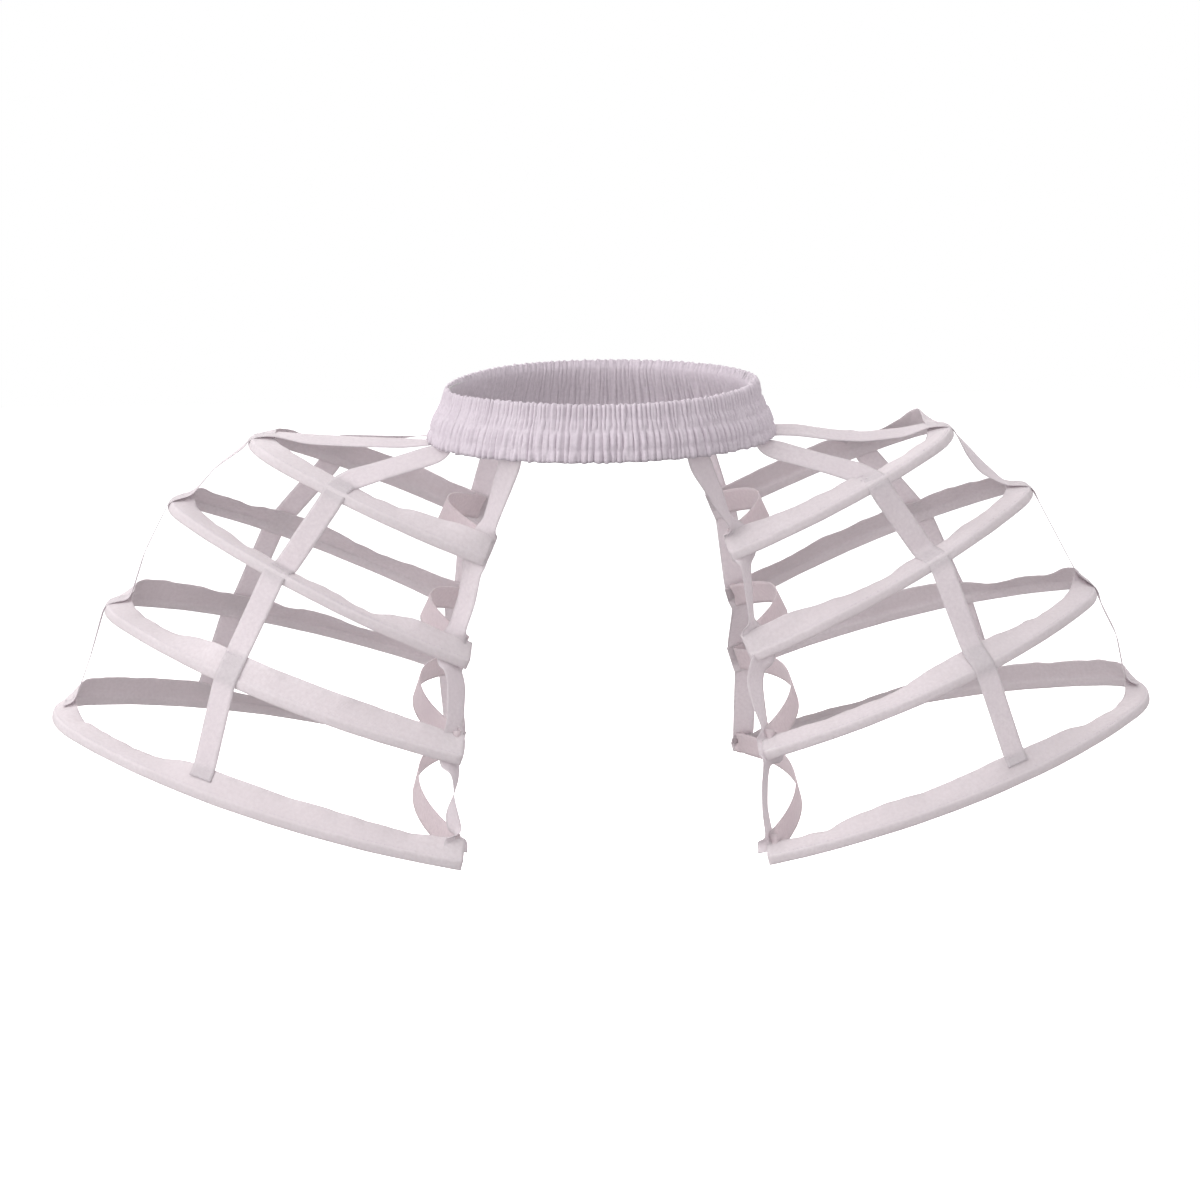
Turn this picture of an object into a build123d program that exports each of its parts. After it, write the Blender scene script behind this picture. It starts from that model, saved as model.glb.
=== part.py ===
from build123d import *
import os
from math import acos, atan2, ceil, cos, degrees, radians, sin

# Crinoline cage: an elastic waistband that carries two side cages of four hoops each.
# All lengths are in millimetres. +X is the wearer's left, -Y the front, +Z up.
# The origin is the centre of the waistband, half way up it.

# Cloth and clearances
CLOTH = 0.6  # one layer of cotton
SEWN_GAP = 0.3  # left between pieces that are stitched together

# Waistband
BAND_HEIGHT = 50
BAND_TOP_HALF_WIDTH = 131
BAND_BOTTOM_HALF_WIDTH = 145.5
BAND_DEPTH_SHARE = 0.79  # depth over width
BAND_SIDES = 60  # flat faces round its plain inside
GATHERS = 100
GATHER_DEPTH = 2.2
HEM_HEIGHT = 8
HEM_FLARE = 1.5
ELASTIC_THICK = 1.2
ELASTIC_HEIGHT = 36
ELASTIC_GAP = 0.3

# Hoop casing section: a bone tunnel below and a leaning flange of two layers above
CASING_HEIGHT = 25
FLANGE_LEAN = 8.5
FACET_RISE = 0.33  # how far a bend may stand off its flat faces
BONE_WIDTH = 5.5
BONE_THICK = 1.0
BONE_TIP_LENGTH = 8
BONE_TIP_WALL = 0.4
BONE_TIP_GAP = 0.1
TUNNEL_GAP = 0.3
CLOSED_END = 3

# Inner straps across the open side of each hoop
STRAP_THICK = 1.0
STRAP_BULGE = 42
STRAP_LAP = 16
STRAP_FOOT = 3

# Tapes
TAPE_WIDTH = 20
TAPE_THICK = 0.8
TAPE_LAP = 14
TAPE_DROP = 4
TAPE_END_LAP = 10
TAPE_BOW = 1.0  # what a flat tape needs against the curved waistband
TAPE_TURNS = 3  # steps in which a tape turns on its way to the first hoop
TAPE_TO_OPENING = 11

# Each hoop lies in its own tilted plane: the tip's distance from the middle and height,
# the tilt, the length from tip to open side, half its depth there, the radius of the tip
# and the angle by which the runs close in again towards the open side.
HOOP_NUMBERS = (1, 2, 3, 4)
TIP_X = (298, 367, 425, 474)
TIP_Z = (-25, -77, -167, -259)
TILT = (24.7, 26.1, 18.9, 15.0)
HOOP_LENGTH = (215, 277, 317, 360)
HALF_DEPTH = (81, 91.5, 134.5, 158)
TIP_RADIUS = (54, 42, 54, 73)
CLOSING = (9, 12.5, 10, 9.7)

# How far along each hoop from its tip the side tapes cross it
FRONT_TAPE_AT = (114, 136, 167, 204)
BACK_TAPE_AT = (106, 124, 151, 176)

# Where the tapes leave the waistband, in degrees from the side towards front or back
SIDE_ANGLE = 0
FRONT_ANGLE = 20
OPENING_ANGLE = 53

TUNNEL_HEIGHT = BONE_WIDTH + 2 * (BONE_TIP_WALL + BONE_TIP_GAP + TUNNEL_GAP + CLOTH)
TUNNEL_THICK = BONE_THICK + 2 * (BONE_TIP_WALL + BONE_TIP_GAP + TUNNEL_GAP + CLOTH)
TUNNEL_MIDDLE = -TUNNEL_THICK / 2
FLANGE_TOP = -FLANGE_LEAN


def rectangle(middle, low, wide, high):
    """Corners of a rectangle in a hoop's section, x outwards and y up."""
    left = middle - wide / 2
    right = middle + wide / 2
    return ((left, low), (right, low), (right, low + high), (left, low + high))


CASING_SECTION = (
    (0, 0),
    (0, TUNNEL_HEIGHT),
    (FLANGE_TOP, CASING_HEIGHT),
    (FLANGE_TOP - 2 * CLOTH, CASING_HEIGHT),
    (-TUNNEL_THICK, TUNNEL_HEIGHT),
    (-TUNNEL_THICK, 0),
)


def tunnel_section(inset):
    """The tunnel's section, smaller than its outside by the inset on every side."""
    return rectangle(
        TUNNEL_MIDDLE, inset, TUNNEL_THICK - 2 * inset, TUNNEL_HEIGHT - 2 * inset
    )


TIP_INSET = CLOTH + TUNNEL_GAP
TIP_HOLLOW_INSET = TIP_INSET + BONE_TIP_WALL
BONE_INSET = TIP_HOLLOW_INSET + BONE_TIP_GAP
STRAP_MIDDLE = FLANGE_TOP - 2 * CLOTH - SEWN_GAP - STRAP_THICK / 2
STRAP_HEIGHT = CASING_HEIGHT - STRAP_FOOT
STRAP_LAP_SECTION = rectangle(STRAP_MIDDLE, STRAP_FOOT, STRAP_THICK, STRAP_HEIGHT)
STRAP_SECTION = rectangle(0, STRAP_FOOT, STRAP_THICK, STRAP_HEIGHT)
TIP_REACH = CLOSED_END + TUNNEL_GAP + BONE_TIP_LENGTH


def facets(radius, turn):
    """How many flat faces a bend needs to stay near its arc."""
    return ceil(radians(turn) / (2 * acos(1 - FACET_RISE / radius)))


class Hoop:
    """The plane and the arcs of one hoop of the +X side."""

    def __init__(self, i):
        self.number = HOOP_NUMBERS[i]
        self.length = HOOP_LENGTH[i]
        self.half_depth = HALF_DEPTH[i]
        self.tip_radius = TIP_RADIUS[i]
        tilt = radians(TILT[i])
        self.plane = Plane(
            origin=(TIP_X[i], 0, TIP_Z[i]),
            x_dir=(-cos(tilt), 0, -sin(tilt)),
            z_dir=(-sin(tilt), 0, cos(tilt)),
        )
        close = radians(CLOSING[i])
        across = self.length - self.tip_radius
        toward = across * sin(close) + self.half_depth * cos(close) - self.tip_radius
        reach = across**2 + self.half_depth**2 - self.tip_radius**2
        self.run_radius = reach / (2 * toward)
        self.run_x = self.length - self.run_radius * sin(close)
        self.run_y = self.half_depth - self.run_radius * cos(close)
        self.end_angle = 90 - degrees(close)
        self.join_angle = degrees(atan2(-self.run_y, self.tip_radius - self.run_x))
        self.tip_half = radians(180 - self.join_angle) * self.tip_radius
        self.run_length = radians(self.join_angle - self.end_angle) * self.run_radius

    def section(self, x, y, radius, angle):
        """The plane across an arc at an angle: x outwards, y along the hoop's normal."""
        centre = self.plane.from_local_coords(Vector(x, y, 0))
        tip = Vector(x + cos(radians(angle)), y + sin(radians(angle)), 0)
        out = self.plane.from_local_coords(tip) - centre
        normal = self.plane.z_dir
        return Plane(origin=centre + out * radius, x_dir=out, z_dir=out.cross(normal))

    def run_section(self, angle, side):
        """A section of the front run (side 1) or the back run (side -1)."""
        return self.section(self.run_x, side * self.run_y, self.run_radius, side * angle)

    def end_section(self, trim, side):
        """The section at a distance from the open side."""
        return self.run_section(self.end_angle + degrees(trim / self.run_radius), side)

    def sections(self, trim):
        """Every section from the front end round the tip to the back end."""
        first = self.end_angle + degrees(TIP_REACH / self.run_radius)
        angles = [self.end_angle + degrees(trim / self.run_radius), first]
        steps = facets(self.run_radius, self.join_angle - first)
        for k in range(1, steps + 1):
            angles.append(first + (self.join_angle - first) * k / steps)
        planes = [self.run_section(angle, 1) for angle in angles]
        turn = 360 - 2 * self.join_angle
        steps = facets(self.tip_radius, turn)
        for k in range(1, steps):
            angle = self.join_angle + turn * k / steps
            planes.append(self.section(self.tip_radius, 0, self.tip_radius, angle))
        planes += [self.run_section(angle, -1) for angle in reversed(angles)]
        return planes

    def crossing(self, along, side):
        """The section plane at a distance from the tip; side is 1 in front, -1 behind."""
        if along < self.tip_half:
            angle = side * (180 - degrees(along / self.tip_radius))
            return self.section(self.tip_radius, 0, self.tip_radius, angle)
        angle = self.join_angle - degrees((along - self.tip_half) / self.run_radius)
        return self.run_section(angle, side)


HOOPS = [Hoop(i) for i in range(len(HOOP_NUMBERS))]


def tape_plane(crossing, outward, up):
    """A tape's section on a hoop: width along the hoop, thickness outwards."""
    at = crossing.from_local_coords(Vector(outward, up, 0))
    return Plane(origin=at, x_dir=crossing.z_dir, z_dir=-crossing.y_dir)


def band_point(angle, z, inset):
    """A point on the waistband's plain ellipse at a height, moved inwards."""
    share = 0.5 - z / BAND_HEIGHT
    half_width = BAND_TOP_HALF_WIDTH * (1 - share) + BAND_BOTTOM_HALF_WIDTH * share
    half_depth = half_width * BAND_DEPTH_SHARE
    x = (half_width - inset) * cos(radians(angle))
    y = -(half_depth - inset) * sin(radians(angle))
    return Vector(x, y, z)


def band_ring(z, inset):
    """Corners of the waistband's plain outline at a height."""
    corners = []
    for k in range(BAND_SIDES):
        point = band_point(360 * k / BAND_SIDES, z, inset)
        corners.append((point.X, point.Y))
    return corners


BAND_BOTTOM = -BAND_HEIGHT / 2
BAND_TOP = BAND_HEIGHT / 2
BAND_POCKET = ELASTIC_THICK + 2 * ELASTIC_GAP
BAND_INSIDE = 2 * CLOTH + BAND_POCKET
TAPE_INSET = BAND_INSIDE + SEWN_GAP + TAPE_BOW + TAPE_THICK / 2


def band_tape_plane(angle, z):
    """A tape's section inside the waistband: width round it, thickness outwards."""
    at = band_point(angle, z, TAPE_INSET)
    width = band_point(angle + 0.5, z, TAPE_INSET) - band_point(
        angle - 0.5, z, TAPE_INSET
    )
    return Plane(origin=at, x_dir=width, z_dir=(0, 0, -1))


def turning(start, finish):
    """Sections between two, which move and turn in equal steps."""
    planes = []
    for k in range(1, TAPE_TURNS):
        share = k / TAPE_TURNS
        at = start.origin * (1 - share) + finish.origin * share
        width = start.x_dir * (1 - share) + finish.x_dir * share
        planes.append(Plane(origin=at, x_dir=width, z_dir=finish.origin - start.origin))
    return planes


def tape_stations(angle, side, places):
    """Every section of a tape from the waistband down over the four hoops."""
    off = SEWN_GAP + TAPE_THICK / 2
    stations = [
        band_tape_plane(side * angle, BAND_BOTTOM + TAPE_LAP),
        band_tape_plane(side * angle, BAND_BOTTOM - TAPE_DROP),
    ]
    for hoop, along in zip(HOOPS, places):
        crossing = hoop.crossing(along, side)
        top = tape_plane(crossing, FLANGE_TOP + off, CASING_HEIGHT)
        if hoop is HOOPS[0]:
            stations += turning(stations[-1], top)
        stations.append(top)
        if hoop is HOOPS[-1]:
            low = CASING_HEIGHT - TAPE_END_LAP
            share = TAPE_END_LAP / (CASING_HEIGHT - TUNNEL_HEIGHT)
            stations.append(tape_plane(crossing, FLANGE_TOP * (1 - share) + off, low))
        else:
            stations.append(tape_plane(crossing, off, TUNNEL_HEIGHT))
            stations.append(tape_plane(crossing, off, 0))
    return stations


def ribbon(stations):
    """A tape through its sections; every stretch is flat triangles, so it can twist."""
    rings = []
    for station in stations:
        ring = []
        for x, y in rectangle(0, -TAPE_THICK / 2, TAPE_WIDTH, TAPE_THICK):
            ring.append(station.from_local_coords(Vector(x, y, 0)))
        rings.append(ring)
    outlines = [rings[0][::-1], rings[-1]]
    for low, high in zip(rings, rings[1:]):
        for k in range(4):
            a, b = low[k], low[(k + 1) % 4]
            c, d = high[(k + 1) % 4], high[k]
            outlines += [(a, b, d), (b, c, d)] if k == 2 else [(a, b, c), (a, c, d)]
    faces = [Face(Wire.make_polygon(corners, close=True)) for corners in outlines]
    return Solid(Shell(faces))


opening_places = []
for hoop in HOOPS:
    opening_places.append(hoop.tip_half + hoop.run_length - TAPE_TO_OPENING)

TAPES = {
    "tape_side": ribbon(tape_stations(SIDE_ANGLE, 1, (0, 0, 0, 0))),
    "tape_front": ribbon(tape_stations(FRONT_ANGLE, 1, FRONT_TAPE_AT)),
    "tape_back": ribbon(tape_stations(FRONT_ANGLE, -1, BACK_TAPE_AT)),
    "tape_front_opening": ribbon(tape_stations(OPENING_ANGLE, 1, opening_places)),
    "tape_back_opening": ribbon(tape_stations(OPENING_ANGLE, -1, opening_places)),
}

os.makedirs("parts", exist_ok=True)


def save(part, name):
    """Labels a finished part and writes its file."""
    part.label = name
    export_step(part, "parts/" + name + ".step")
    print(name, "written")


# Waistband: the pocket for the elastic first, then the gathered cloth round it
pocket_levels = (-ELASTIC_HEIGHT / 2 - ELASTIC_GAP, ELASTIC_HEIGHT / 2 + ELASTIC_GAP)

with BuildPart() as pocket:
    for z in pocket_levels:
        with BuildSketch(Plane.XY.offset(z)):
            with BuildLine():
                Polyline(*band_ring(z, CLOTH), close=True)
            make_face()
    loft(ruled=True)
    for z in pocket_levels:
        with BuildSketch(Plane.XY.offset(z)):
            with BuildLine():
                Polyline(*band_ring(z, CLOTH + BAND_POCKET), close=True)
            make_face()
    loft(ruled=True, mode=Mode.SUBTRACT)


def gathered_ring(z, flare):
    """The waistband's zigzag outline at a height."""
    corners = []
    for k in range(2 * GATHERS):
        rise = GATHER_DEPTH if k % 2 == 0 else 0
        point = band_point(180 * k / GATHERS, z, -rise - flare)
        corners.append((point.X, point.Y))
    return corners


hem_top = BAND_BOTTOM + HEM_HEIGHT
with BuildPart() as waistband:
    for z, flare in ((BAND_BOTTOM, HEM_FLARE), (hem_top, 0), (BAND_TOP, 0)):
        with BuildSketch(Plane.XY.offset(z)):
            with BuildLine():
                Polyline(*gathered_ring(z, flare), close=True)
            make_face()
    loft(ruled=True)
    for z in (BAND_BOTTOM, BAND_TOP):
        with BuildSketch(Plane.XY.offset(z)):
            with BuildLine():
                Polyline(*band_ring(z, BAND_INSIDE), close=True)
            make_face()
    loft(ruled=True, mode=Mode.SUBTRACT)
    add(pocket.part, mode=Mode.SUBTRACT)

save(waistband.part, "waistband_casing")

elastic_levels = (-ELASTIC_HEIGHT / 2, ELASTIC_HEIGHT / 2)
with BuildPart() as elastic:
    for z in elastic_levels:
        with BuildSketch(Plane.XY.offset(z)):
            with BuildLine():
                Polyline(*band_ring(z, CLOTH + ELASTIC_GAP), close=True)
            make_face()
    loft(ruled=True)
    for z in elastic_levels:
        with BuildSketch(Plane.XY.offset(z)):
            with BuildLine():
                inner = CLOTH + ELASTIC_GAP + ELASTIC_THICK
                Polyline(*band_ring(z, inner), close=True)
            make_face()
    loft(ruled=True, mode=Mode.SUBTRACT)

save(elastic.part, "waist_elastic")

# The hoops: a sewn casing, the bone inside it and the strap across its open side
tip_parts = []
for hoop in HOOPS:
    with BuildPart() as casing:
        for plane in hoop.sections(0):
            with BuildSketch(plane):
                with BuildLine():
                    Polyline(*CASING_SECTION, close=True)
                make_face()
        loft(ruled=True)
        for plane in hoop.sections(CLOSED_END):
            with BuildSketch(plane):
                with BuildLine():
                    Polyline(*tunnel_section(CLOTH), close=True)
                make_face()
        loft(ruled=True, mode=Mode.SUBTRACT)

    hollow_trim = CLOSED_END + TUNNEL_GAP + BONE_TIP_WALL
    with BuildPart() as bone:
        for plane in hoop.sections(hollow_trim + BONE_TIP_GAP):
            with BuildSketch(plane):
                with BuildLine():
                    Polyline(*tunnel_section(BONE_INSET), close=True)
                make_face()
        loft(ruled=True)

    with BuildPart() as tips:
        for side in (1, -1):
            for trim in (CLOSED_END + TUNNEL_GAP, TIP_REACH):
                with BuildSketch(hoop.end_section(trim, side)):
                    with BuildLine():
                        Polyline(*tunnel_section(TIP_INSET), close=True)
                    make_face()
            loft(ruled=True)
            for trim in (hollow_trim, TIP_REACH):
                with BuildSketch(hoop.end_section(trim, side)):
                    with BuildLine():
                        Polyline(*tunnel_section(TIP_HOLLOW_INSET), close=True)
                    make_face()
            loft(ruled=True, mode=Mode.SUBTRACT)
    tip_parts.append(tips.part)

    # The strap's ends lap the inside of the casing, and between them it bulges outwards
    corner = hoop.end_section(0, 1).from_local_coords(Vector(STRAP_MIDDLE, 0, 0))
    corner = hoop.plane.to_local_coords(corner)
    bulge_radius = (corner.Y**2 + STRAP_BULGE**2) / (2 * STRAP_BULGE)
    bulge_half = degrees(acos(1 - STRAP_BULGE / bulge_radius))
    bulge_x = corner.X - STRAP_BULGE + bulge_radius
    bulge_steps = facets(bulge_radius, 2 * bulge_half)
    with BuildPart() as strap:
        for side in (1, -1):
            for trim in (0, STRAP_LAP):
                with BuildSketch(hoop.end_section(trim, side)):
                    with BuildLine():
                        Polyline(*STRAP_LAP_SECTION, close=True)
                    make_face()
            loft(ruled=True)
        for k in range(bulge_steps + 1):
            angle = 180 - bulge_half + 2 * bulge_half * k / bulge_steps
            with BuildSketch(hoop.section(bulge_x, 0, bulge_radius, angle)):
                with BuildLine():
                    Polyline(*STRAP_SECTION, close=True)
                make_face()
        loft(ruled=True)

    for body, name in ((casing, "casing"), (bone, "bone"), (strap, "strap")):
        title = "hoop_" + str(hoop.number) + "_" + name
        save(body.part, title + "_left")
        with BuildPart() as other:
            mirror(body.part, about=Plane.YZ)
        save(other.part, title + "_right")

with BuildPart() as bone_tips:
    for tips in tip_parts:
        add(tips)
        mirror(tips, about=Plane.YZ)

save(bone_tips.part, "bone_tips")

# The tapes that join the hoops to the waistband
for name, solid in TAPES.items():
    with BuildPart() as tape:
        add(solid)
    save(tape.part, name + "_left")
    with BuildPart() as other:
        mirror(tape.part, about=Plane.YZ)
    save(other.part, name + "_right")
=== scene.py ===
# %% [markdown]
# # A crinoline cage in Blender
# The real object is sewn: an elastic waistband gathers a strip of cotton, ten tapes hang from it, and
# the tapes carry eight hoops of flat steel in cotton casings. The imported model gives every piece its
# place and size. This lesson makes the cloth that shows: gathers, flanges, tunnels, twists, stitches.

# %% Load the frame
import math

import bpy
import numpy as np
from mathutils import Matrix, Vector


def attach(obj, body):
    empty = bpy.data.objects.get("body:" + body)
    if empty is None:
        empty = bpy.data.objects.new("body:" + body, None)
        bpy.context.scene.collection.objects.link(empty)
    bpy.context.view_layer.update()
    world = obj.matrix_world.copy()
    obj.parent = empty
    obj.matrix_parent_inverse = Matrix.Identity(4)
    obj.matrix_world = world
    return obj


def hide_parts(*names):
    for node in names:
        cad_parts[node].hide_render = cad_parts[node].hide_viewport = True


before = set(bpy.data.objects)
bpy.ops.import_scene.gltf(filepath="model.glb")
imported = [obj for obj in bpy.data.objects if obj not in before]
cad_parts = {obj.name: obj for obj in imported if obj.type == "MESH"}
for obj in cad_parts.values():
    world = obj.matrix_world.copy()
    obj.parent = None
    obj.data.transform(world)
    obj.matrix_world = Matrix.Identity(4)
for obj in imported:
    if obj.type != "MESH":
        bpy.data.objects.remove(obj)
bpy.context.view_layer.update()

MM = 0.001
print("nodes in the frame:", len(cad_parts))

# %% [markdown]
# ## Colour and cloth
# The cotton is off-white with a faint pink cast. A cloth finish has three parts: the colour, which drifts
# a little over a hand's width; the weave, a bump of crossed threads; and the nap, which is sheen.
# The weave reads the piece's own UV map, written in metres of cloth, so the threads follow every bend.

# %% A linear colour from an sRGB hex value
def linear(hex_value):
    """A hex colour such as E4D9E0 as linear red, green, blue and alpha."""
    parts = [int(hex_value[i : i + 2], 16) / 255 for i in (0, 2, 4)]
    return [p / 12.92 if p <= 0.04045 else ((p + 0.055) / 1.055) ** 2.4 for p in parts] + [1]


# %% One small function adds a node
def node(tree, kind, inputs=None, **settings):
    """Adds a node, sets its settings, and fills its inputs with values or links."""
    made = tree.nodes.new(kind)
    for key, value in settings.items():
        setattr(made, key, value)
    for key, value in (inputs or {}).items():
        if isinstance(value, bpy.types.NodeSocket):
            tree.links.new(value, made.inputs[key])
        else:
            made.inputs[key].default_value = value
    return made


# %% The cloth materials
# Real threads lie about 0.4 mm apart, too fine for the picture, so they are drawn coarser.
THREAD = 1.1 * MM
SHEER = 0.35  # the share of light that a single layer of thin cotton lets through
DENSE = 0.08  # gathered cloth lies in many layers and lets little through
DRIFT_SCALE = 9.0  # a shade lasts for about a hand's width
SLUB_SCALE = 0.35  # thick and thin places in the thread, against the thread count
CREASE_SCALE = 130.0  # creases some 8 mm apart
WEAVE_DEPTH = 0.12 * MM
CREASE_DEPTH = 0.8 * MM


def cloth(name, light, dark, thread=THREAD, ribs=0.0, nap=0.25, weave=0.25, sheer=SHEER):
    """Woven cotton: a slow drift between two shades, crossed threads and a matte nap."""
    material = bpy.data.materials.new(name)
    material.use_nodes = True
    tree = material.node_tree
    tree.nodes.clear()
    place = node(tree, "ShaderNodeTexCoord")
    drift = node(
        tree,
        "ShaderNodeTexNoise",
        {"Vector": place.outputs["Object"], "Scale": DRIFT_SCALE, "Detail": 3.0},
    )
    slub = node(
        tree,
        "ShaderNodeTexNoise",
        {"Vector": place.outputs["UV"], "Scale": SLUB_SCALE / thread, "Detail": 2.0},
    )
    blend = node(
        tree, "ShaderNodeMath", {0: drift.outputs["Fac"], 1: slub.outputs["Fac"]}, operation="MULTIPLY"
    )
    ramp = node(tree, "ShaderNodeValToRGB", {"Fac": blend.outputs[0]})
    ramp.color_ramp.elements[0].position = 0.12
    ramp.color_ramp.elements[0].color = linear(dark)
    ramp.color_ramp.elements[1].position = 0.42
    ramp.color_ramp.elements[1].color = linear(light)
    turn = 2 * math.pi / thread
    scaled = node(
        tree, "ShaderNodeVectorMath", {0: place.outputs["UV"], 1: (turn, turn, 0)}, operation="MULTIPLY"
    )
    split = node(tree, "ShaderNodeSeparateXYZ", {0: scaled.outputs[0]})
    warp = node(tree, "ShaderNodeMath", {0: split.outputs["X"]}, operation="SINE")
    weft = node(tree, "ShaderNodeMath", {0: split.outputs["Y"]}, operation="SINE")
    ribbed = node(tree, "ShaderNodeMath", {0: weft.outputs[0], 1: 1.0 + ribs}, operation="MULTIPLY")
    threads = node(tree, "ShaderNodeMath", {0: warp.outputs[0], 1: ribbed.outputs[0]}, operation="ADD")
    crease = node(
        tree,
        "ShaderNodeTexNoise",
        {"Vector": place.outputs["Object"], "Scale": CREASE_SCALE, "Detail": 4.0, "Roughness": 0.6},
    )
    fine = node(
        tree, "ShaderNodeBump", {"Height": threads.outputs[0], "Strength": weave, "Distance": WEAVE_DEPTH}
    )
    soft = node(
        tree,
        "ShaderNodeBump",
        {
            "Height": crease.outputs["Fac"],
            "Strength": 0.3,
            "Distance": CREASE_DEPTH,
            "Normal": fine.outputs[0],
        },
    )
    shader = node(
        tree,
        "ShaderNodeBsdfPrincipled",
        {
            "Base Color": ramp.outputs["Color"],
            "Roughness": 0.88,
            "Sheen Weight": nap,
            "Sheen Roughness": 0.5,
            "Normal": soft.outputs[0],
        },
    )
    shader.inputs["Specular IOR Level"].default_value = 0.2
    through = node(
        tree,
        "ShaderNodeBsdfTranslucent",
        {"Color": ramp.outputs["Color"], "Normal": soft.outputs[0]},
    )
    both = node(
        tree, "ShaderNodeMixShader", {0: sheer, 1: shader.outputs[0], 2: through.outputs[0]}
    )
    node(tree, "ShaderNodeOutputMaterial", {"Surface": both.outputs[0]})
    return material


casing_cotton = cloth("casing cotton", "F1EAED", "E7DFE2")
strap_cotton = cloth("strap cotton", "E8DDE0", "DCD0D4")
tape_cotton = cloth("cotton tape", "E7E0E3", "DCD4D8", ribs=0.6)
gathered_cotton = cloth("gathered cotton", "DBD0D9", "CCC1CA", sheer=DENSE)
sewing_thread = cloth("sewing thread", "F0E9EE", "E2D8E0", thread=0.5 * MM, nap=0.4)
woven_elastic = cloth("woven elastic", "F0EEEE", "E4E1E2", thread=1.6 * MM, ribs=2.0, weave=0.6)
print("cloth materials:", 6)

# %% [markdown]
# ## Steel and plastic
# The bones are flat spring steel under a white coating, and their tips are moulded plastic. Both lie
# inside the tunnels, so they only show in an X-ray, but each still gets a finish of its own.

# %% The finishes of the bones and their tips
def coated(name, colour, roughness, speckle):
    """A smooth white coat over metal or a moulded plastic, with a fine orange peel."""
    material = bpy.data.materials.new(name)
    material.use_nodes = True
    tree = material.node_tree
    tree.nodes.clear()
    place = node(tree, "ShaderNodeTexCoord")
    grain = node(tree, "ShaderNodeTexNoise", {"Vector": place.outputs["Object"], "Scale": speckle})
    bump = node(
        tree,
        "ShaderNodeBump",
        {"Height": grain.outputs["Fac"], "Strength": 0.15, "Distance": MM / 10},
    )
    ramp = node(tree, "ShaderNodeValToRGB", {"Fac": grain.outputs["Fac"]})
    ramp.color_ramp.elements[0].color = linear("E4E3E0")
    ramp.color_ramp.elements[1].color = linear(colour)
    shader = node(
        tree,
        "ShaderNodeBsdfPrincipled",
        {"Base Color": ramp.outputs["Color"], "Roughness": roughness, "Normal": bump.outputs[0]},
    )
    node(tree, "ShaderNodeOutputMaterial", {"Surface": shader.outputs[0]})
    return material


coated_steel = coated("white coated spring steel", "F2F1EE", 0.35, 900.0)
tip_plastic = coated("moulded polyethylene", "F4F3F0", 0.5, 400.0)
for name, cad_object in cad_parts.items():
    if "_bone_" in name or name == "bone_tips":
        for place in cad_object.material_slots:
            place.material = tip_plastic if name == "bone_tips" else coated_steel
        print(name, "slots:", len(cad_object.material_slots))

# %% [markdown]
# ## The hoops' lines
# Each hoop is a long U in a tilted plane: a round tip and two gently curved runs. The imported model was
# built from the same few sizes. A `Hoop` turns them into a line that can be asked, at any distance from
# the tip, for a point, the direction outwards and the direction up through the cloth.

# %% Hoop sizes, in millimetres and degrees
HOOP_SIZES = {
    1: {"tip_x": 298, "tip_z": -25, "tilt": 24.7, "length": 215, "depth": 81, "tip": 54, "closing": 9},
    2: {"tip_x": 367, "tip_z": -77, "tilt": 26.1, "length": 277, "depth": 91.5, "tip": 42, "closing": 12.5},
    3: {"tip_x": 425, "tip_z": -167, "tilt": 18.9, "length": 317, "depth": 134.5, "tip": 54, "closing": 10},
    4: {"tip_x": 474, "tip_z": -259, "tilt": 15.0, "length": 360, "depth": 158, "tip": 73, "closing": 9.7},
}
SIDES = {"left": 1, "right": -1}  # the wearer's left is +X
FRONT, BACK = 1, -1


class Hoop:
    """One hoop's line. Distances run from the tip, positive along the front run."""

    def __init__(self, number, side):
        size = HOOP_SIZES[number]
        self.number = number
        self.side = side
        self.mirror = SIDES[side]
        self.tip_x, self.tip_z = size["tip_x"], size["tip_z"]
        self.tilt = math.radians(size["tilt"])
        self.length, self.depth, self.tip = size["length"], size["depth"], size["tip"]
        close = math.radians(size["closing"])
        across = self.length - self.tip
        toward = across * math.sin(close) + self.depth * math.cos(close) - self.tip
        self.radius = (across**2 + self.depth**2 - self.tip**2) / (2 * toward)
        self.middle = (
            self.length - self.radius * math.sin(close),
            self.depth - self.radius * math.cos(close),
        )
        self.join = math.atan2(-self.middle[1], self.tip - self.middle[0])
        self.tip_half = (math.pi - self.join) * self.tip
        self.half = self.tip_half + (self.join - (math.pi / 2 - close)) * self.radius

    def line(self, along):
        """Points, outward and upward directions at distances from the tip, as (n, 3) arrays."""
        along = np.atleast_1d(np.asarray(along, float))
        run, way = np.abs(along), np.where(along < 0, -1.0, 1.0)
        on_tip = run < self.tip_half
        angle = np.where(on_tip, math.pi - run / self.tip, self.join - (run - self.tip_half) / self.radius)
        radius = np.where(on_tip, self.tip, self.radius)
        x = np.where(on_tip, self.tip, self.middle[0]) + radius * np.cos(angle)
        y = np.where(on_tip, 0, self.middle[1]) + radius * np.sin(angle)
        points = self.world(x, way * y, 0) + np.array([self.mirror * self.tip_x, 0, self.tip_z])
        outward = self.world(np.cos(angle), way * np.sin(angle), 0)
        upward = np.repeat(self.world(np.zeros(1), np.zeros(1), 1), len(along), axis=0)
        return points, outward, upward

    def world(self, x, y, z):
        """A direction in the hoop's own plane as one in the frame: x inwards, y to the front."""
        cosine, sine = math.cos(self.tilt), math.sin(self.tilt)
        return np.stack([self.mirror * (-x * cosine - z * sine), -y, -x * sine + z * cosine], axis=1)


HOOPS = {(number, side): Hoop(number, side) for number in HOOP_SIZES for side in SIDES}
for hoop in HOOPS.values():
    print("hoop", hoop.number, hoop.side, "casing length", round(2 * hoop.half), "mm")

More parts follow.
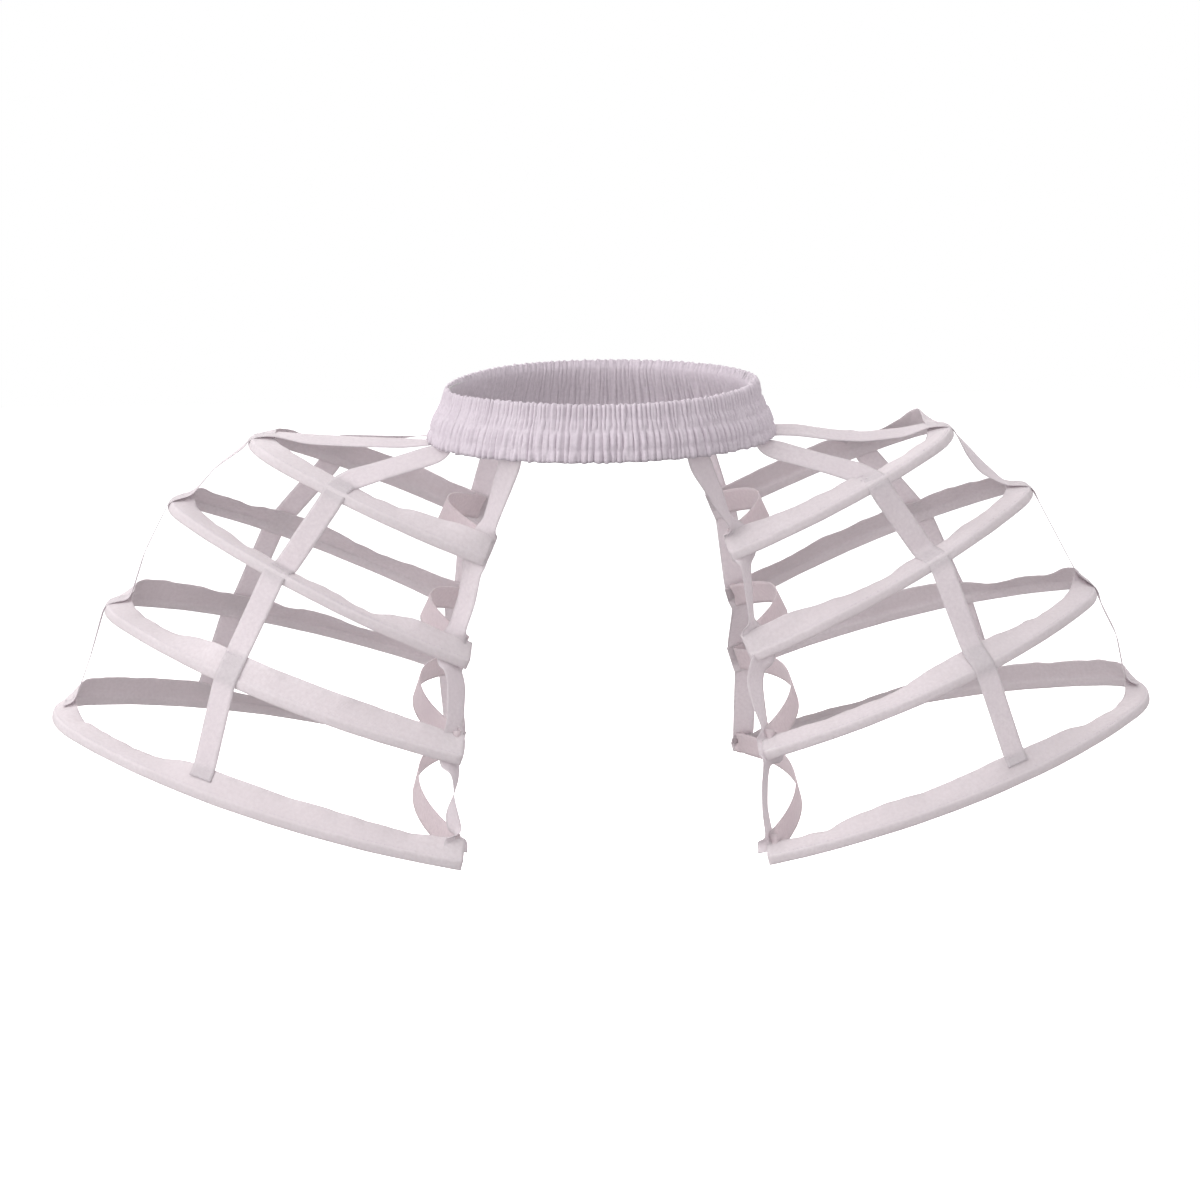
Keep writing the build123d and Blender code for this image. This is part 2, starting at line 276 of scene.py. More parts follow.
# %% [markdown]
# ## The shape of a casing
# A casing is one strip of cotton folded round the bone. The fold makes a tunnel, one row of stitches closes
# it, and the two layers above stand up as a flange. A flange on a curve can't stand straight: its free edge
# is too short for the outside of the bend, so it leans inwards, most at the tip. That is one rule, so the
# casing is worked out as a section that changes along the line.

# %% Smooth unevenness
WAVES = ((1.0, 0.5), (0.618, 0.3), (0.37, 0.2), (1.83, 0.35))  # (share of the length, height)


def wander(x, length, seed):
    """A smooth uneven wave between about -1 and 1, which repeats nothing in sight."""
    phases = np.random.default_rng(seed).uniform(0, 2 * math.pi, len(WAVES))
    total = 0
    for k, (stretch, share) in enumerate(WAVES):
        total = total + share * np.sin(2 * math.pi * x / (length * stretch) + phases[k])
    return total


def bump_at(x, centre, width):
    """One smooth hill, 1 high at its centre."""
    return np.exp(-(((x - centre) / width) ** 2))


# %% Sizes of the casing's section, in millimetres
CLOTH_THICK = 0.45
STITCH_HEIGHT = 8.3
TUNNEL_MIDDLE = (-1.75, 3.9)
TUNNEL_HALF = (2.15, 4.35)
TUNNEL_SQUARENESS = 3.0
TUNNEL_START = 68  # degrees round the tunnel where the outer stitches are
TUNNEL_SWEEP = 316  # degrees from the outer stitches to the inner ones
LAYER_GAP = 1.15
LEAN_SOFTNESS = 9.0
LEAN_SAMPLES = 7
CURL = 6.0  # degrees that the flange bends more between the stitches and its edge
FOLD_RISE = 0.45  # the fold at the flange's edge stands this much above its layers
STITCH_PUCKER = 0.22  # the cloth puckers beside the stitches
PUCKER_FADE = 5  # and lies flat again this far up
EDGE_PUCKER = 0.5
TUNNEL_PUCKER = 0.12
FLANGE_POINTS = 10
TUNNEL_POINTS = 16
STATION_STEP = 2.5
END_PINCH = 3.0  # the folded strip closes over this length at its ends
END_OPEN = 0.25  # the share of its thickness that is left there


class Casing:
    """A hoop's cloth: how long and how far leaning the flange is, all along the hoop."""

    def __init__(self, hoop, leans, flange, lift):
        self.hoop = hoop
        self.flange, self.lift = flange, lift
        self.places, self.leans = np.array(leans, float).T
        self.seed = 10 * hoop.number + (hoop.mirror > 0)

    def flange_at(self, along):
        """The flange's length, its lean at the stitches and its curl, at distances from the tip."""
        length = self.flange * (1 + 0.02 * wander(along, 90, self.seed + 1))
        spread = np.linspace(-1, 1, LEAN_SAMPLES) * LEAN_SOFTNESS
        lean = sum(np.interp(along + step, self.places, self.leans) for step in spread) / len(spread)
        lean = lean + 2.0 * wander(along, 75, self.seed + 2)
        curl = CURL + 6 * wander(along, 60, self.seed + 3)
        return length, np.radians(lean), np.radians(curl)

    def layer(self, along, height, back=0.0):
        """Section points up one layer: height is 0 at the stitches and 1 at the flange's edge."""
        length, lean, curl = self.flange_at(along)
        up = height * length
        angle = lean + curl * height / 2
        pucker = STITCH_PUCKER * np.exp(-up / PUCKER_FADE) * wander(along, 8, self.seed + 4)
        pucker = pucker + EDGE_PUCKER * height**2 * wander(along, 34, self.seed + 5)
        out = TUNNEL_MIDDLE[0] + LAYER_GAP / 2 - back - up * np.sin(angle) + pucker * np.cos(angle)
        return out, STITCH_HEIGHT + up * np.cos(angle) + pucker * np.sin(angle)

    def tunnel(self, along, turn):
        """Section points round the tunnel: turn is 0 at the outer stitches and 1 at the inner."""
        angle = math.radians(TUNNEL_START) - turn * math.radians(TUNNEL_SWEEP)
        cosine, sine = math.cos(angle), math.sin(angle)
        power = 2 / TUNNEL_SQUARENESS
        out = TUNNEL_MIDDLE[0] + TUNNEL_HALF[0] * math.copysign(abs(cosine) ** power, cosine)
        up = TUNNEL_MIDDLE[1] + TUNNEL_HALF[1] * math.copysign(abs(sine) ** power, sine)
        pucker = TUNNEL_PUCKER * max(sine, 0) * wander(along, 6, self.seed + 6)
        return out + pucker, up + 0.15 * wander(along, 70, self.seed + 7)

    def surface(self, along, out, up):
        """Points in the frame, in metres, from section coordinates."""
        points, outward, upward = self.hoop.line(along)
        up = np.reshape(up, (-1, 1)) + self.lift
        return MM * (points + outward * np.reshape(out, (-1, 1)) + upward * up)

    def grid(self, along):
        """Every point of the folded strip, stations by section points."""
        columns = []
        for k in range(FLANGE_POINTS):
            columns.append(self.layer(along, 1 - k / FLANGE_POINTS))
        for k in range(TUNNEL_POINTS + 1):
            columns.append(self.tunnel(along, k / TUNNEL_POINTS))
        for k in range(1, FLANGE_POINTS + 1):
            columns.append(self.layer(along, k / FLANGE_POINTS, LAYER_GAP))
        out, up = self.layer(along, 1, LAYER_GAP / 2)
        columns.append((out, up + FOLD_RISE))
        from_end = self.hoop.half - np.abs(along)
        open_share = np.clip(END_OPEN + (1 - END_OPEN) * from_end / END_PINCH, 0, 1)
        rows = []
        for out, up in columns:
            length, lean, curl = self.flange_at(along)
            sheet_out = TUNNEL_MIDDLE[0] - np.clip(up - STITCH_HEIGHT, 0, None) * np.tan(lean + curl / 4)
            rows.append(self.surface(along, sheet_out + (out - sheet_out) * open_share, up))
        return np.stack(rows, axis=1)


# %% A mesh from a grid of points
def grid_mesh(name, points, material, wrapped=False, flip=False, thickness=CLOTH_THICK, offset=-1.0):
    """A sheet over a grid of points, with its UV map in metres, given a thickness."""
    rows, columns = points.shape[:2]
    reach = columns if wrapped else columns - 1
    faces, corners = [], []
    down = np.concatenate([[0], np.cumsum(np.linalg.norm(np.diff(points.mean(1), axis=0), axis=1))])
    ring = np.concatenate([points, points[:, :1]], axis=1)
    across = np.concatenate(
        [[0], np.cumsum(np.linalg.norm(np.diff(ring[rows // 2], axis=0), axis=1))]
    )
    for i in range(rows - 1):
        for j in range(reach):
            k = (j + 1) % columns
            face = [(i, j, j), (i, k, j + 1), (i + 1, k, j + 1), (i + 1, j, j)]
            if flip:
                face.reverse()
            faces.append([row * columns + column for row, column, _ in face])
            corners += [(down[row], across[place]) for row, _, place in face]
    mesh = bpy.data.meshes.new(name)
    mesh.from_pydata(points.reshape(-1, 3).tolist(), [], faces)
    mesh.uv_layers.new(name="cloth").data.foreach_set("uv", np.array(corners, np.float32).ravel())
    mesh.polygons.foreach_set("use_smooth", [True] * len(faces))
    mesh.materials.append(material)
    made = bpy.data.objects.new(name, mesh)
    bpy.context.scene.collection.objects.link(made)
    wall = made.modifiers.new("thickness", "SOLIDIFY")
    wall.thickness = thickness * MM
    wall.offset = offset
    return plain(made)


def plain(made):
    """Applies an object's modifiers, so that what is left is a plain mesh."""
    bpy.context.view_layer.update()
    graph = bpy.context.evaluated_depsgraph_get()
    mesh = bpy.data.meshes.new_from_object(made.evaluated_get(graph))
    made.modifiers.clear()
    old, made.data = made.data, mesh
    bpy.data.meshes.remove(old)
    mesh.name = made.name
    return made


# %% [markdown]
# ## Eight casings
# Every casing follows the same rule, but no two were sewn or hung alike. Each gets its own leans, some
# are a little longer in the flange, and some hang a little higher or lower than the even hoop.

# %% What sets each casing apart
# How far each flange leans in: (millimetres from the tip, degrees), from the back run to the front.
CASING_LEANS = {
    (1, "left"): [
        (-250, 15), (-130, 15), (-105, 45), (-70, 48), (-52, 30), (-42, 0), (-33, 4), (-22, 50),
        (0, 70), (50, 84), (112, 80), (135, 58), (190, 62), (212, 48), (250, 40),
    ],
    (2, "left"): [
        (-314, 36), (-150, 30), (-100, 34), (-60, 34), (-25, 46), (0, 62), (50, 74), (205, 76),
        (229, 62), (244, 57), (259, 34), (274, 16), (314, 16),
    ],
    (3, "left"): [
        (-371, 8), (-170, 6), (-140, 30), (-115, 50), (-70, 46), (-45, 44), (-25, 20), (-5, 20), (12, 58),
        (50, 70), (105, 66), (150, 30), (190, 34), (215, 46), (232, 66), (247, 76), (262, 70),
        (307, 74), (340, 76), (371, 70),
    ],
    (4, "left"): [
        (-426, 56), (-300, 52), (-230, 24), (-170, 10), (-60, 8), (-32, 12), (-12, 34), (8, 64),
        (40, 80), (105, 80), (117, 64), (132, 46), (165, 44), (180, 20), (210, 14), (225, 36),
        (268, 43), (280, 60), (294, 43), (330, 45), (357, 60), (372, 78), (405, 82), (426, 70),
    ],
    (1, "right"): [
        (-251, 15), (-130, 16), (-95, 25), (-70, 48), (-48, 50), (-25, 42), (-5, 54), (10, 66),
        (125, 70), (170, 68), (187, 54), (217, 34), (235, 12), (251, 10),
    ],
    (2, "right"): [
        (-314, 15), (-235, 44), (-190, 40), (-165, 26), (-110, 34), (-60, 44), (-25, 30), (-5, 42),
        (15, 68), (50, 80), (120, 84), (225, 86), (262, 44), (285, 48), (314, 52),
    ],
    (3, "right"): [
        (-371, 20), (-300, 35), (-277, 55), (-233, 36), (-200, 40), (-110, 25), (-60, 10), (-30, 30),
        (0, 60), (50, 76), (85, 76), (100, 64), (113, 45), (130, 42), (145, 12), (250, 16),
        (300, 34), (371, 50),
    ],
    (4, "right"): [
        (-426, 20), (-280, 40), (-240, 56), (-205, 40), (-170, 12), (-60, 4), (-35, 16), (0, 60),
        (50, 76), (140, 76), (164, 50), (180, 24), (210, 14), (270, 34), (340, 42), (372, 58),
        (400, 50), (426, 36),
    ],
}
CASING_LIFTS = {
    (2, "left"): -0.8,
    (3, "left"): -0.8,
    (4, "left"): -0.8,
    (2, "right"): -0.8,
    (3, "right"): 1.2,
    (4, "right"): 1.2,
}
FLANGE = 17.5
CASING_FLANGES = {(3, "right"): 19.0, (4, "right"): 18.0}

CASINGS = {
    key: Casing(HOOPS[key], leans, CASING_FLANGES.get(key, FLANGE), CASING_LIFTS.get(key, 0.0))
    for key, leans in CASING_LEANS.items()
}
for (number, side), casing in CASINGS.items():
    hoop = casing.hoop
    stations = np.linspace(hoop.half, -hoop.half, int(2 * hoop.half / STATION_STEP))
    name = f"cloth_hoop_{number}_casing_{side}"
    made = grid_mesh(name, casing.grid(stations), casing_cotton, wrapped=True, flip=hoop.mirror < 0)
    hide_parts(f"hoop_{number}_casing_{side}")
    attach(made, "root")
    print(name, len(made.data.polygons), "faces")

# %% [markdown]
# ## Flat strips of cloth
# The straps and the tapes are strips. A strip is described by a few stations, each with the middle of the
# strip and the direction of its width. Straight stretches join them, and a running average rounds the
# corners, as cloth under light tension does.

# %% A strip through stations
STRIP_STEP = 2.0
LEAST_STATIONS = 8
ACROSS_POINTS = 8


def averaged(values, reach):
    """A running average with soft ends, which keeps the first and last value."""
    offsets = np.arange(-3 * reach, 3 * reach + 1)
    weights = np.exp(-((offsets / reach) ** 2) / 2)
    weights /= weights.sum()
    padded = np.concatenate(
        [
            2 * values[:1] - values[1 : 3 * reach + 1][::-1],
            values,
            2 * values[-1:] - values[-3 * reach - 1 : -1][::-1],
        ]
    )
    return np.stack([np.convolve(padded[:, k], weights, "valid") for k in range(3)], axis=1)


def unit(vectors):
    """The same directions with a length of one."""
    return vectors / np.linalg.norm(vectors, axis=-1, keepdims=True)


def strip_points(stations, width, rounding=2):
    """A grid of points along a strip through (middle, direction of width) stations, in metres."""
    middles = np.array([s[0] for s in stations], float)
    widths = unit(np.array([s[1] for s in stations], float))
    far = np.concatenate([[0], np.cumsum(np.linalg.norm(np.diff(middles, axis=0), axis=1))])
    at = np.linspace(0, far[-1], max(LEAST_STATIONS, int(far[-1] / (STRIP_STEP * MM))))
    line = np.stack([np.interp(at, far, middles[:, k]) for k in range(3)], axis=1)
    wide = np.stack([np.interp(at, far, widths[:, k]) for k in range(3)], axis=1)
    line, wide = averaged(line, rounding), averaged(wide, rounding)
    along = unit(np.gradient(line, axis=0))
    wide = unit(wide - along * (wide * along).sum(1, keepdims=True))
    shares = np.linspace(-0.5, 0.5, ACROSS_POINTS)
    return np.stack([line + wide * share * width * MM for share in shares], axis=1)


# %% [markdown]
# ## Inner straps
# Across the open side of every hoop runs a strap of the same cotton, doubled. Its ends are caught inside
# the casing, and worn it bulges outwards round the hip.

# %% The straps
STRAP_WIDTH = 21
STRAP_THICK = 0.8
STRAP_BULGE = 42
STRAP_FULLNESS = 2.2  # above 2 the strap's arc is flatter in the middle
STRAP_LAP = 16
STRAP_STEPS = 24
STRAP_ROUNDING = 4
STRAP_DEPTH = LAYER_GAP + 2.4  # the strap lies behind the tape at the opening


def strap_stations(casing):
    """Stations from the front run's lap round the hip to the back run's lap."""
    hoop = casing.hoop
    found = []
    for end in (FRONT, BACK):
        lap = []
        for trim in (STRAP_LAP, STRAP_LAP / 2, 1):
            along = end * (hoop.half - trim)
            low = casing.surface(along, *casing.layer(along, 0.0, STRAP_DEPTH))[0]
            high = casing.surface(along, *casing.layer(along, 1.0, STRAP_DEPTH))[0]
            lap.append(((low + high) / 2 - 0.1 * (high - low), high - low))
        found.append(lap)
    start, finish = found[0][-1], found[1][-1]
    outward = np.array([hoop.mirror * math.cos(hoop.tilt), 0, math.sin(hoop.tilt)])
    upward = np.array([-hoop.mirror * math.sin(hoop.tilt), 0, math.cos(hoop.tilt)])
    arc = []
    for k in range(1, STRAP_STEPS):
        share = k / STRAP_STEPS
        middle = start[0] * (1 - share) + finish[0] * share
        bulge = STRAP_BULGE * MM * (1 - abs(2 * share - 1) ** STRAP_FULLNESS)
        arc.append((middle + outward * bulge, upward))
    return found[0] + arc + found[1][::-1]


for (number, side), casing in CASINGS.items():
    name = f"cloth_hoop_{number}_strap_{side}"
    points = strip_points(strap_stations(casing), STRAP_WIDTH, rounding=STRAP_ROUNDING)
    made = grid_mesh(name, points, strap_cotton, thickness=STRAP_THICK, offset=0.0)
    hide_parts(f"hoop_{number}_strap_{side}")
    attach(made, "root")

# %% [markdown]
# ## The waistband's outline
# The band is a ring, wider below than above. Everything on it, the gathered cloth, the elastic and the
# ends of the tapes, is placed by the same outline, moved inwards or outwards.

# %% A point on the waistband
BAND_HEIGHT = 50
BAND_TOP_HALF_WIDTH = 131
BAND_BOTTOM_HALF_WIDTH = 145.5
BAND_DEPTH_SHARE = 0.79
BAND_INSIDE = 3.0
BAND_SLACK = 3.4  # the wearer's left end of the ring sits this much further in


def smooth(x, low, high):
    """A soft step from 0 to 1."""
    t = np.clip((x - low) / (high - low), 0, 1)
    return t * t * (3 - 2 * t)


def band_point(angle, z, inset):
    """A point on the waistband's outline: the angle runs from +X towards the front, in degrees."""
    fall = 0.5 - z / BAND_HEIGHT
    share = 0.5 * fall + 0.5 * smooth(fall, 0.1, 0.8)
    half_width = BAND_TOP_HALF_WIDTH * (1 - share) + BAND_BOTTOM_HALF_WIDTH * share
    turn = np.radians(angle)
    half_width = half_width - BAND_SLACK * np.clip(np.cos(turn), 0, 1) ** 3
    x = (half_width - inset) * np.cos(turn)
    y = -(half_width * BAND_DEPTH_SHARE - inset) * np.sin(turn)
    return MM * np.stack([x, y, np.broadcast_to(z, np.shape(x))], axis=-1)


# %% [markdown]
# ## Ten tapes
# Five tapes hang from the band on each side: one over the tips, two down the middle of the runs and two
# at the open side. The front one there runs inside the casings, and the others lie on the outside of
# every flange that they cross. Between two hoops a tape may turn, and then it shows its edge.

# %% The tapes' sizes and places
TAPE_WIDTH = 20
TAPE_THICK = 0.6
TAPE_REST = 0.75  # from a flange's surface to the middle of the tape
TAPE_LAP = 14
TAPE_END_LAP = 0.55
TAPE_TO_OPENING = 11
FRONT_TAPE_AT = {1: 114, 2: 136, 3: 167, 4: 204}
BACK_TAPE_AT = {1: 106, 2: 124, 3: 151, 4: 176}
TAPES = {
    "side": {"angle": 0, "run": FRONT, "at": {1: 0, 2: 0, 3: 0, 4: 0}},
    "front": {"angle": 20, "run": FRONT, "at": FRONT_TAPE_AT},
    "back": {"angle": 20, "run": BACK, "at": BACK_TAPE_AT},
    "front_opening": {"angle": 55.5, "run": FRONT, "at": None},
    "back_opening": {"angle": 53, "run": BACK, "at": None},
}
# How far a tape was sewn from its even place, in millimetres towards the opening.
TAPE_SHIFTS = {
    ("front", "right"): {3: -3, 4: -8},
    ("front", "left"): {3: 4, 4: -6},
    ("front_opening", "right"): {1: 3, 2: -6, 3: 2, 4: 4},
    ("front_opening", "left"): {3: 5, 4: 9},
}
TAPE_ANGLES = {("front_opening", "left"): 58.5}  # where one left the band off its even place
# How a tape turns on its way to a hoop: (share of the way, degrees, millimetres outwards and upwards).
FRONT_TURNS = {1: [(0.05, 22, 0, 0), (0.15, 32, 0, 0), (0.4, 18, 0, 0), (0.7, 4, 0, 0)]}
TAPE_TURNS = {
    ("side", "right"): {
        1: [(0.2, 12, 0, -2), (0.5, 14, 0, -3), (0.8, 14, 0, -3)],
        2: [(0.5, -4, 3, 2)],
        3: [(0.5, 1, 3, 1)],
        4: [(0.5, 2, -1, -1)],
    },
    ("side", "left"): {
        1: [(0.05, 18, 0, 6), (0.2, 20, 0, 4), (0.4, 18, 0, -2), (0.6, 14, 0, -6), (0.85, 12, 0, -5)],
        2: [(0.3, 18, -2.5, -2), (0.6, 24, -4, -3), (0.85, 12, -2, -1)],
        3: [(0.1, 5, 0, 0), (0.9, 5, 0, 0)],
        4: [(0.1, 8, 0, 0), (0.5, 8, 4, 2), (0.9, 8, 0, 0)],
    },
    ("front", "right"): FRONT_TURNS,
    ("front", "left"): FRONT_TURNS,
    ("front_opening", "right"): {
        1: [(0.1, -10, 0, 0), (0.3, -24, 0, 0), (0.6, -45, 0, 0), (0.93, -62, 0, 0)],
        2: [(0.06, -50, 0, 0), (0.5, -53, -2, 0), (0.94, -58, 0, 0)],
        3: [(0.08, 20, -4, 0), (0.3, 22, -6, 0), (0.7, 30, -3, 0), (0.94, 40, 0, 0)],
        4: [(0.1, 55, -4, 0), (0.25, 66, -4, 0), (0.45, 80, -1, 0), (0.7, 112, 2, 0), (0.92, 118, 0, 0)],
    },
    ("front_opening", "left"): {
        1: [(0.1, -4, 0, 0), (0.3, -32, 0, 0), (0.5, -45, 0, 0), (0.75, -72, 0, 0), (0.93, -85, 0, 0)],
        2: [(0.06, -72, 0, 0), (0.5, -80, 0, 0), (0.94, -89, 0, 0)],
        3: [(0.06, -64, -6, 0), (0.3, -62, -10, 0), (0.6, -72, -7, 0), (0.94, -88, -2, 0)],
        4: [(0.06, -80, -5, 0), (0.3, -82, -6, 0), (0.6, -84, -5, 0), (0.94, -80, 0, 0)],
    },
}
INNER_TAPE = LAYER_GAP + 0.55


def tape_at(name, side, number):
    """How far from the tip a tape crosses a hoop, negative along the back run."""
    tape = TAPES[name]
    at = tape["at"][number] if tape["at"] else HOOPS[(number, side)].half - TAPE_TO_OPENING
    return tape["run"] * (at + TAPE_SHIFTS.get((name, side), {}).get(number, 0))


def tape_crossing(casing, along, last, inside):
    """Stations where a tape lies on one casing, from the flange's edge down."""
    heights = (1.0, 0.75, 1 - TAPE_END_LAP) if last else (1.0, 0.6, 0.25)
    found = []
    before, after = (casing.hoop.line(along + step)[0][0] for step in (-1, 1))
    wide = after - before
    rest = -INNER_TAPE if inside else TAPE_REST
    tunnel_side = TUNNEL_MIDDLE[0] + (-1 if inside else 1) * (TUNNEL_HALF[0] + TAPE_REST)
    for height in heights:
        out, up = casing.layer(along, height)
        lean = casing.flange_at(along)[1]
        place = casing.surface(along, out + rest * np.cos(lean), up + rest * np.sin(lean))[0]
        found.append((place, wide))
    if not last:
        for up in (STITCH_HEIGHT - 1.5, STITCH_HEIGHT / 2, -0.6):
            found.append((casing.surface(along, tunnel_side, up)[0], wide))
    return found


def turned(direction, axis, degrees):
    """A direction turned about an axis."""
    axis = axis / np.linalg.norm(axis)
    angle = math.radians(degrees)
    across = np.cross(axis, direction)
    return direction * math.cos(angle) + across * math.sin(angle)


def tape_stations(name, side):
    """Every station of one tape, from inside the waistband down over the four hoops."""
    tape = TAPES[name]
    mirror = SIDES[side]
    angle = tape["run"] * TAPE_ANGLES.get((name, side), tape["angle"])
    if mirror < 0:
        angle = 180 - angle
    stations = []
    for z in (-BAND_HEIGHT / 2 + TAPE_LAP, -BAND_HEIGHT / 2 - 1):
        place = band_point(angle, z, BAND_INSIDE + 2.2)
        wide = band_point(angle + 0.5, z, BAND_INSIDE) - band_point(angle - 0.5, z, BAND_INSIDE)
        stations.append((place, wide))
    for number in HOOP_SIZES:
        casing = CASINGS[(number, side)]
        at = tape_at(name, side, number)
        crossing = tape_crossing(casing, at, number == max(HOOP_SIZES), name == "front_opening")
        if np.dot(crossing[0][1], stations[-1][1]) < 0:
            crossing = [(place, -wide) for place, wide in crossing]
        (start, start_wide), (end, end_wide) = stations[-1], crossing[0]
        for share, degrees, bow, rise in TAPE_TURNS.get((name, side), {}).get(number, []):
            place = start * (1 - share) + end * share + MM * np.array([mirror * bow, 0, rise])
            wide = unit(start_wide) * (1 - share) + unit(end_wide) * share
            stations.append((place, turned(wide, end - start, mirror * degrees)))
        stations += crossing
    return stations


for side in SIDES:
    for tape in TAPES:
        name = f"cloth_tape_{tape}_{side}"
        points = strip_points(tape_stations(tape, side), TAPE_WIDTH)
        made = grid_mesh(name, points, tape_cotton, thickness=TAPE_THICK, offset=0.0)
        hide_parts(f"tape_{tape}_{side}")
        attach(made, "root")

# %% [markdown]
# ## The gathered waistband
# A strip nearly twice as long as the waist is sewn to stretched elastic in rows. When the elastic lets go,
# the cloth stands up in narrow gathers between the rows, and the rows pinch it lower. Below the last row
# the free hem opens into a small ruffle. The gathers are a fine wave round the band above and a wider one
# below, and their crests shift a little from row to row.

# %% The gathers
FINE_GATHERS = 208
WIDE_GATHERS = 146
GATHER_HEIGHT = 2.9
GATHER_VALLEY = 0.9  # the valleys lie this far inside the band's outline
BAND_ROWS = (0.28, 0.49, 0.8)  # stitch rows, as shares of the height from the top
ROW_PINCH = 0.035
ROW_DEPTHS = (0.5, 0.6, 0.6)
ROW_FULLNESS = 0.4  # the share of the pinched fullness that a row leaves standing
ROW_REACH = 0.08  # the crests shift within this share of the height, above and below a row
FOLD_SHARPNESS = 0.6  # below 1 the crests are broad and the valleys narrow
RUFFLE_FULL = 0.93  # from this share of the height the ruffle is fully open
RIM_STAND = 0.75  # how far the gathers stand out at the top edge
RIM_GAP = 0.9  # between the two layers at the top edge, so that it looks sharp
BAND_AROUND = 1380
BAND_OUTSIDE = 21
BAND_INNER = 8
BAND_SEED = 4
RUFFLE_FLARE = 2.1
SIDE_SLACK = 0.55  # the gathers are deeper on the wearer's left
HEM_RISE = 2.4  # the gathers draw the hem up by this much


def gather(angle, fall, seed):
    """How far the gathered cloth stands out, in millimetres, at shares of the height from the top."""
    turn = np.radians(angle)
    tiers = np.zeros_like(fall)
    for k, row in enumerate((0.0,) + BAND_ROWS):
        shift = wander(angle, 5 + k, seed + 2 + k)
        tiers = tiers + smooth(fall, row - ROW_REACH, row + ROW_REACH) * shift
    slant = 1.6 * (fall - 0.4) * wander(angle, 31, seed + 12)
    uneven = 1.7 * wander(angle, 23, seed) + 0.8 * wander(angle, 8, seed + 1)
    fine = np.abs(np.cos((FINE_GATHERS * turn + 1.3 * uneven + 1.5 * tiers + slant) / 2)) ** FOLD_SHARPNESS
    wide = np.abs(np.cos((WIDE_GATHERS * turn + uneven + tiers + 2 * slant) / 2)) ** FOLD_SHARPNESS
    middle_row = BAND_ROWS[1]
    ragged = fall + 0.05 * wander(angle, 4, seed + 13)
    blend = smooth(ragged, middle_row - 0.1, middle_row + ROW_REACH)
    pinch = np.ones_like(fall)
    for row, depth in zip(BAND_ROWS, ROW_DEPTHS):
        pinch = pinch - depth * np.exp(-(((fall - row) / ROW_PINCH) ** 2))
    slack = 1 + SIDE_SLACK * np.cos(turn) + 0.3 * wander(angle, 3.1, seed + 9) + 0.25 * blend
    height = GATHER_HEIGHT * pinch * slack
    kept = ROW_FULLNESS * (GATHER_HEIGHT * slack - height)
    ruffle = smooth(fall, BAND_ROWS[-1], RUFFLE_FULL)
    swell = np.cos(0.6 * WIDE_GATHERS * turn + 1.5 * uneven + 1.8 * wander(angle, 5, seed + 10))
    puff = RUFFLE_FLARE * ruffle * (0.5 + 0.5 * swell)
    return height * (fine * (1 - blend) + wide * blend) * (1 - 0.3 * ruffle) + kept + puff


def band_levels(angle, fall, seed):
    """The height of each point: the hem is drawn up, the top dips on one side and both are ragged."""
    turn = np.radians(angle)
    ragged = 0.55 * wander(angle, 6, seed + 20) * smooth(fall, 0.9, 1.0)
    ragged = ragged + 0.9 * wander(angle, 2.6, seed + 21) * (1 - smooth(fall, 0.0, 0.08))
    dip = 3.0 * np.clip(np.sin(turn), 0, 1) ** 2 + 5.5 * np.clip(-np.cos(turn), 0, 1) ** 4
    tuft = 2.6 * bump_at((angle + 180) % 360 - 180, 14, 4) + 2.2 * bump_at(angle, 171, 3)
    hem = HEM_RISE + 1.2 * np.cos(turn)
    top = BAND_HEIGHT / 2 - (dip - tuft) * (1 - smooth(fall, 0, 0.5))
    return top - fall * (BAND_HEIGHT - hem) + ragged


def band_grid(seed):
    """The folded strip: down the outside, under the hem, up the inside and over the top."""
    angle = np.linspace(0, 360, BAND_AROUND, endpoint=False)
    rows = []
    for share in np.linspace(0, 1, BAND_OUTSIDE):
        fall = np.full_like(angle, share)
        full = RIM_STAND + (1 - RIM_STAND) * smooth(fall, 0.0, 0.06)
        stand = gather(angle, fall, seed) * full - GATHER_VALLEY
        rows.append(band_point(angle, band_levels(angle, fall, seed), -stand))
    for share in np.linspace(1, 0, BAND_INNER):
        fall = np.full_like(angle, share)
        folds = gather(angle, fall, seed)
        inset = BAND_INSIDE + 0.5 * folds
        if share == 0:
            inset = RIM_GAP + GATHER_VALLEY - RIM_STAND * folds
        rows.append(band_point(angle, band_levels(angle, fall, seed), inset))
    return np.stack(rows, axis=1)


points = band_grid(BAND_SEED)
ring = np.concatenate([points, points[:1]])
band = grid_mesh("cloth_waistband", ring, gathered_cotton, wrapped=True)
print("waistband triangles", 2 * len(band.data.polygons))

# %% [markdown]
# The elastic inside is a plain woven band, which only shows if the cloth is taken off.

# %% The elastic
ELASTIC_HEIGHT = 36
ELASTIC_THICK = 1.0
ELASTIC_INSET = 2.3  # between the two layers of the cloth
angle = np.linspace(0, 360, 181)
levels = np.linspace(ELASTIC_HEIGHT / 2, -ELASTIC_HEIGHT / 2, 12)
points = np.stack([band_point(angle, z, ELASTIC_INSET) for z in levels], axis=1)
elastic = grid_mesh("band_elastic", points, woven_elastic, thickness=ELASTIC_THICK, offset=0.0)
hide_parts("waist_elastic")
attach(elastic, "root")

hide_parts("waistband_casing")
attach(band, "root")
print("elastic made")

# %% [markdown]
# ## Stitches
# A machine stitch repeats at an even step along a seam. One node tree sets a short thread at every step of
# a line and turns it along the line. Real thread is 0.3 mm thick, too fine for the picture, so it is drawn
# twice as thick.

# %% The stitch tree
STITCH_INPUTS = {"Step": 3.6 * MM, "Length": 2.7 * MM, "Thread": 0.6 * MM, "Uneven": 0.12}
STITCH_SEED = 7


